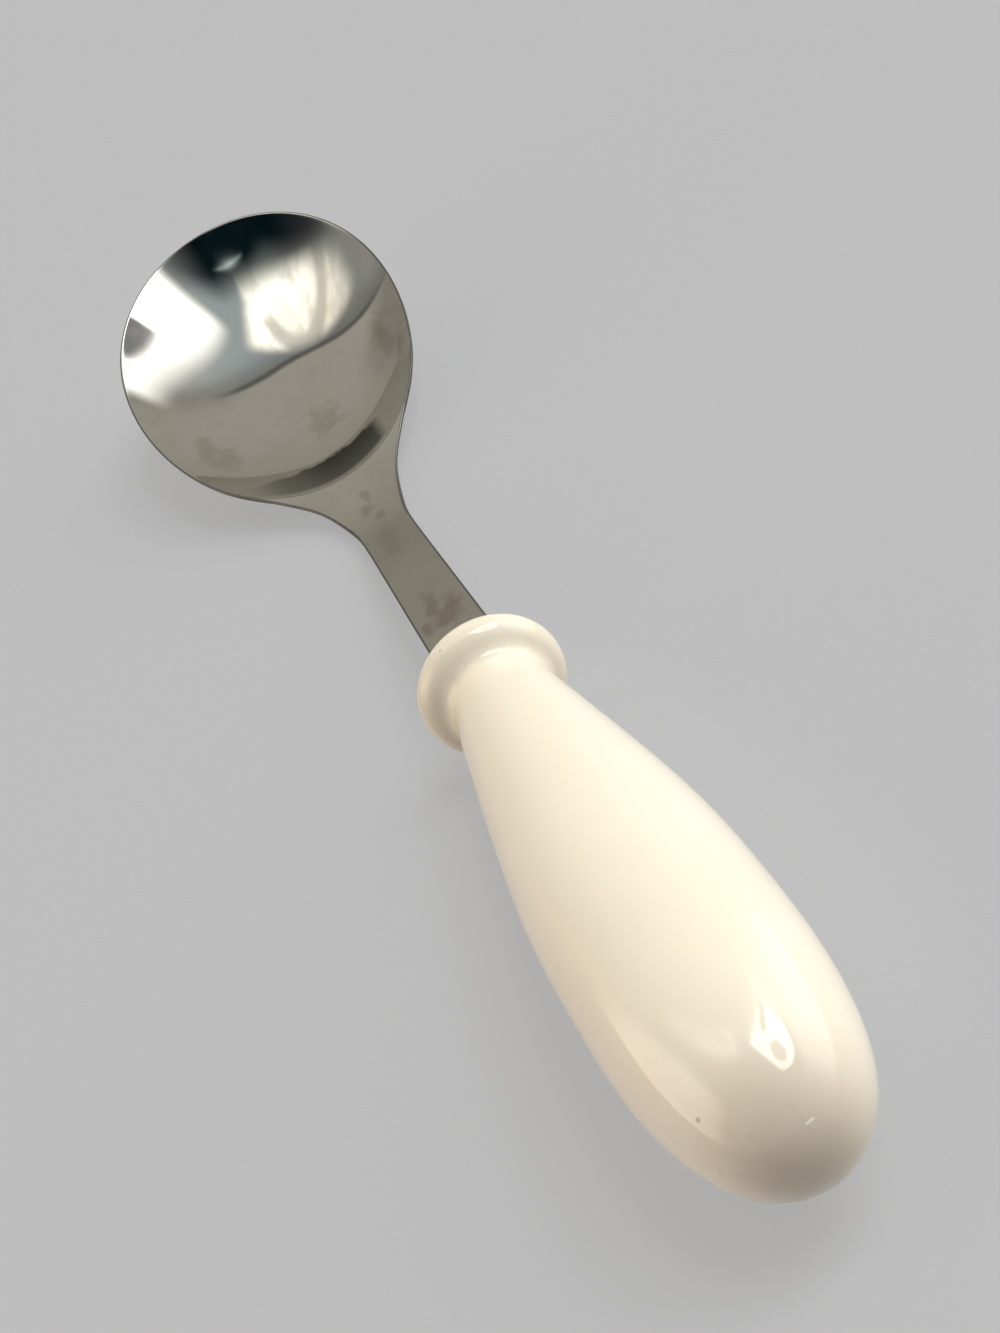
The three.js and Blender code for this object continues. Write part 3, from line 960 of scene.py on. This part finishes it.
SLIT_END_FADE = (10.3, 7.3)
SLIT_SIDES = ((12.65, 16.35), (19.2, 18.3))

# Pale room behind the camera, as far as shiny surfaces show it
ROOM_HIGH = (0.3, 0.3, 0.3)
ROOM_LOW = (0.85, 0.845, 0.83)
ROOM_LOW_FADE = (25, 65)
ROOM_PATCH = (0.45, 0.45, 0.44)
ROOM_PATCH_NOISE = (2.2, 1)
ROOM_PATCH_FADE = (0.42, 0.6, 0.0, 0.5)
ROOM_START_FADE = (-14, -30)


class Sky(Shader):
    """Nodes of the world, with the places of each direction in the studio."""

    def __init__(self, tree):
        super().__init__(tree)
        self.direction = self.node("ShaderNodeTexCoord").outputs["Generated"]
        self.x, self.y, z = self.parts(self.direction)
        level = self.math("SUBTRACT", 1.0, self.math("MULTIPLY", z, z))
        level = self.math("SQRT", self.math("MAXIMUM", level, 1e-8))
        self.angle = self.math("DEGREES", self.math("ARCCOSINE", z))
        spread = self.math("DIVIDE", self.angle, level)
        self.right = self.math("MULTIPLY", self.y, self.math("MULTIPLY", spread, -1.0))
        self.ahead = self.math("MULTIPLY", self.x, spread)
        self.bow = self.math("MULTIPLY", self.right, self.right)
        sine, cosine = LAMP_SLANT
        self.along = self.line(self.right, sine, self.math("MULTIPLY", self.ahead, cosine))
        self.across = self.line(self.right, cosine, self.math("MULTIPLY", self.ahead, -sine))

    def oval(self, middle_right, middle_ahead, half_right, half_ahead):
        """How far out a direction is in an oval, 1 at its edge."""
        u = self.math("DIVIDE", self.math("SUBTRACT", self.right, middle_right), half_right)
        v = self.math("DIVIDE", self.math("SUBTRACT", self.ahead, middle_ahead), half_ahead)
        return self.distance(u, v)


def ceiling(s):
    colour = CEILING
    for fade, tone in CEILING_SIDES:
        colour = s.mix(s.step(s.right, *fade), colour, tone)
    return colour


def with_dark(s, colour):
    dark = DARK
    for fade, tone in DARK_SIDES:
        dark = s.mix(s.step(s.right, *fade), dark, tone)
    dark = s.mix(s.step(s.ahead, *DARK_BEHIND_FADE), dark, DARK_BEHIND)
    edge = s.math("ADD", s.line(s.bow, DARK_BOW, DARK_START), s.step(s.right, *DARK_DIP))
    past_edge = s.math("SUBTRACT", s.ahead, edge)
    share = s.step(past_edge, DARK_EDGE_START, s.step(s.right, *DARK_EDGE_END))
    return s.mix(share, colour, dark)


def with_strip(s, colour):
    offset = s.math("ADD", s.line(s.right, STRIP_SLANT, s.ahead), STRIP_PLACE)
    across = s.math("ABSOLUTE", s.math("DIVIDE", offset, STRIP_HALF_WIDTH))
    share = s.step(s.math("ADD", across, s.oval(*STRIP_OVAL)), *STRIP_FADE)
    return s.mix(share, colour, STRIP)


def with_wall(s, colour):
    place = s.line(s.bow, s.step(s.right, *JOINT_BOW), JOINT_PLACE)
    past_joint = s.math("SUBTRACT", s.ahead, place)
    wall = s.mix(s.step(s.ahead, *WALL_LOW_FADE), WALL, WALL_LOW)
    corner = s.product(s.step(s.right, *WALL_CORNER_LEFT), s.step(s.ahead, *WALL_CORNER_LOW))
    wall = s.mix(corner, wall, WALL_CORNER)
    colour = s.mix(s.step(past_joint, *JOINT_SHADE_FADE), colour, JOINT_SHADE)
    softness = s.step(s.right, *JOINT_SOFTNESS)
    colour = s.mix(s.step(past_joint, s.math("MULTIPLY", softness, -1.0), softness), colour, wall)
    joint = s.step(s.math("ABSOLUTE", past_joint), *JOINT_FADE)
    joint = s.product(joint, *(s.step(s.right, *fade) for fade in JOINT_ENDS), JOINT_SHARE)
    return s.mix(joint, colour, JOINT)


def with_tent_sides(s, colour):
    for sideways, from_behind, tone in TENT_SIDES:
        share = s.product(s.step(s.y, *sideways), s.step(s.x, *from_behind))
        colour = s.mix(share, colour, tone)
    return colour


def with_cloth(s, colour):
    start = s.math("MAXIMUM", s.line(s.bow, CLOTH_BOW, CLOTH_START), s.math("ADD", s.right, CLOTH_SIDE))
    share = s.product(
        s.step(s.math("SUBTRACT", s.ahead, start), *CLOTH_START_FADE),
        s.step(s.line(s.right, CLOTH_END_SLANT, s.ahead), *CLOTH_END_FADE),
        s.step(s.right, *CLOTH_LEFT_FADE),
    )
    cloth = s.mix(s.step(s.oval(*CLOTH_BRIGHT_OVAL), *CLOTH_BRIGHT_FADE), CLOTH, CLOTH_BRIGHT)
    from_fold = s.math("ABSOLUTE", s.math("SUBTRACT", s.oval(*FOLD_MIDDLE), FOLD_RADIUS))
    fold = s.product(s.step(from_fold, *FOLD_FADE), s.step(s.ahead, *FOLD_START_FADE), FOLD_SHARE)
    cloth = s.mix(fold, cloth, FOLD)
    creases = s.step(s.noise(s.direction, *CREASE_NOISE), *CREASE_FADE)
    cloth = s.mix(creases, cloth, CREASE)
    return s.mix(share, colour, cloth)


def with_lamp(s, colour):
    edge = s.math("ADD", s.step(s.along, *LAMP_EDGE_RISE), s.step(s.along, *LAMP_EDGE_FALL))
    past_edge = s.math("SUBTRACT", s.across, edge)
    past_end = s.line(s.across, LAMP_END_SLANT, s.along)
    white = s.product(
        s.step(past_edge, *WHITE_EDGE_FADE),
        s.step(past_end, *WHITE_END_FADE),
        s.step(s.along, *WHITE_ALONG_FADE),
        s.step(s.across, *WHITE_ACROSS_FADE),
    )
    colour = s.mix(white, colour, WHITE_SIDE)
    disc = s.product(
        s.step(s.oval(*LAMP_OVAL), *LAMP_OVAL_FADE),
        s.step(past_edge, *LAMP_EDGE_FADE),
        s.step(past_end, *LAMP_END_FADE),
    )
    colour = s.mix(disc, colour, WHITE_SIDE)
    ring = s.product(disc, s.step(s.oval(*LAMP_HOLE_OVAL), *LAMP_HOLE_FADE))
    colour = s.mix(ring, colour, LAMP)
    from_middle = s.math("ABSOLUTE", s.math("SUBTRACT", s.along, SLIT_MIDDLE))
    slit = s.product(s.step(from_middle, *SLIT_END_FADE), *(s.step(s.across, *fade) for fade in SLIT_SIDES))
    return s.mix(slit, colour, SLIT)


def with_room(s, colour):
    room = s.mix(s.step(s.angle, *ROOM_LOW_FADE), ROOM_HIGH, ROOM_LOW)
    patches = s.step(s.noise(s.direction, *ROOM_PATCH_NOISE), *ROOM_PATCH_FADE)
    room = s.mix(patches, room, ROOM_PATCH)
    share = s.product(s.step(s.ahead, *ROOM_START_FADE), seen_directly(s))
    return s.mix(share, colour, room)


def make_world():
    """A soft studio round the spoon; the camera itself sees the floor's grey all round."""
    world = bpy.data.worlds.new("studio")
    bpy.context.scene.world = world
    world.use_nodes = True
    world.node_tree.nodes.clear()
    s = Sky(world.node_tree)
    colour = ceiling(s)
    for add in (with_dark, with_strip, with_wall, with_tent_sides, with_cloth, with_lamp, with_room):
        colour = add(s, colour)
    path = s.node("ShaderNodeLightPath")
    colour = s.mix(path.outputs["Is Camera Ray"], colour, (FLOOR_TONE / LIGHT_LEVEL,) * 3)
    background = s.node("ShaderNodeBackground")
    s.put(background.inputs["Color"], colour)
    background.inputs["Strength"].default_value = LIGHT_LEVEL
    output = s.node("ShaderNodeOutputWorld")
    s.put(output.inputs["Surface"], background.outputs[0])


# Camera where the photograph was taken from, in the handle's own frame; picture sizes are in pixels

PICTURE_WIDTH = 1000
FOCAL_LENGTH = 2000
AXIS_OFFSET = 16.7
SENSOR_WIDTH = 36
NEAREST = 0.01
FARTHEST = 100
CAMERA_TILT = math.radians(35)
CAMERA_TURN = math.atan(AXIS_OFFSET / FOCAL_LENGTH)
CAMERA_PLACE = (-220.85, 0, 154.52)
CAMERA_ROLL = (0.5633, 0.8263)


def make_camera():
    data = bpy.data.cameras.new("camera")
    data.sensor_fit = "HORIZONTAL"
    data.sensor_width = SENSOR_WIDTH
    data.lens = SENSOR_WIDTH * FOCAL_LENGTH / PICTURE_WIDTH
    data.clip_start = NEAREST
    data.clip_end = FARTHEST
    away = Vector((math.cos(CAMERA_TILT), 0, -math.sin(CAMERA_TILT)))
    below = Vector((-math.sin(CAMERA_TILT), 0, -math.cos(CAMERA_TILT)))
    side = Vector((0, 1, 0))
    forward = away * math.cos(CAMERA_TURN) - side * math.sin(CAMERA_TURN)
    across = side * math.cos(CAMERA_TURN) + away * math.sin(CAMERA_TURN)
    right = below * CAMERA_ROLL[0] - across * CAMERA_ROLL[1]
    right, forward = laid_direction(right).normalized(), laid_direction(forward).normalized()
    up = right.cross(forward)
    pose = Matrix((right, up, -forward)).transposed().to_4x4()
    pose.translation = laid(CAMERA_PLACE)
    camera = bpy.data.objects.new("camera", data)
    camera.matrix_world = pose
    bpy.context.scene.collection.objects.link(camera)
    bpy.context.scene.camera = camera


make_floor()
make_world()
make_camera()
bpy.context.scene.view_settings.view_transform = "Standard"
